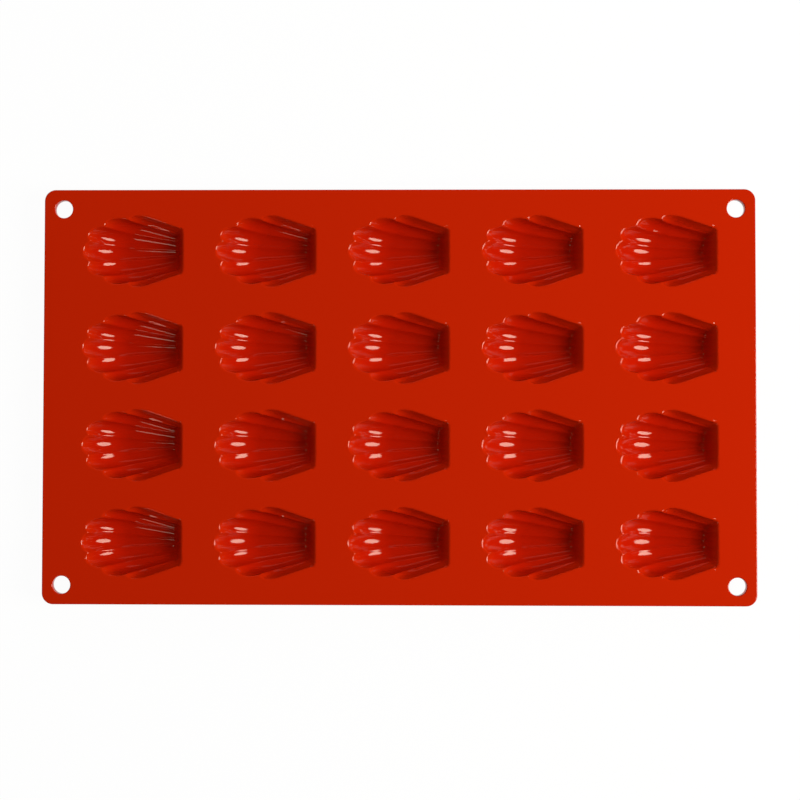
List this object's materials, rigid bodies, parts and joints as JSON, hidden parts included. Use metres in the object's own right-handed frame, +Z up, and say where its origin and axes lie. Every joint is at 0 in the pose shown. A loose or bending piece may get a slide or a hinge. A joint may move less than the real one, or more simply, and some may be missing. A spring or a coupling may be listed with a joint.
{
  "type": "silicone baking mould",
  "caption": "Flexible sheet mould with rows of fluted scallop-shell cavities for small madeleines and a hole near each corner.",
  "frame": {"origin": "centre of the footprint, on the surface that the undersides of the cups stand on", "axes": "+X along the length, towards the straight narrow ends of the shells; +Y across; +Z up, out of the cavities"},
  "size_m": [0.3, 0.175, 0.0123],
  "materials": {
    "silicone": "glossy red silicone"
  },
  "bodies": {
    "root": {"web": "silicone", "border": "silicone", "cup_r1_c1": "silicone", "cup_r1_c2": "silicone", "cup_r1_c3": "silicone", "cup_r1_c4": "silicone", "cup_r1_c5": "silicone", "cup_r2_c1": "silicone", "cup_r2_c2": "silicone", "cup_r2_c3": "silicone", "cup_r2_c4": "silicone", "cup_r2_c5": "silicone", "cup_r3_c1": "silicone", "cup_r3_c2": "silicone", "cup_r3_c3": "silicone", "cup_r3_c4": "silicone", "cup_r3_c5": "silicone", "cup_r4_c1": "silicone", "cup_r4_c2": "silicone", "cup_r4_c3": "silicone", "cup_r4_c4": "silicone", "cup_r4_c5": "silicone"}
  },
  "joints": []
}
